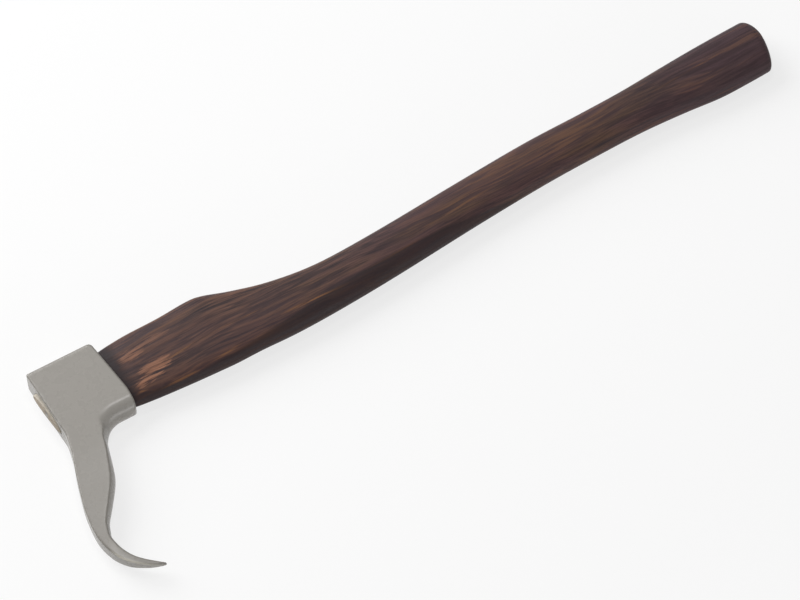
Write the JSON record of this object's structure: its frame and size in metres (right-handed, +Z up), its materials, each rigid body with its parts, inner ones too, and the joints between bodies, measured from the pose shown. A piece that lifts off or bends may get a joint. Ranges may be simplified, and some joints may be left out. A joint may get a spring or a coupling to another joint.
{
  "type": "log pick",
  "caption": "Log pick: a forged head with one long curved pick, hung on a curved wooden haft and wedged in its oval eye.",
  "frame": {"origin": "on the underside cheek of the head, straight below the middle of the eye", "axes": "+X along the haft from the head to the butt, +Y towards the flat poll, away from the pick, +Z up through the upper cheek, with the tool lying on its side"},
  "size_m": [0.6227, 0.1773, 0.025],
  "materials": {
    "head_paint": "warm grey satin paint over forged steel",
    "haft_wood": "dark brown stained hickory with a satin oil finish",
    "wedge_wood": "bare pale hardwood",
    "wedge_steel": "plain steel, dull"
  },
  "bodies": {
    "root": {"head": "head_paint", "haft": "haft_wood", "wood_wedge": "wedge_wood", "steel_wedge": "wedge_steel"}
  },
  "joints": []
}
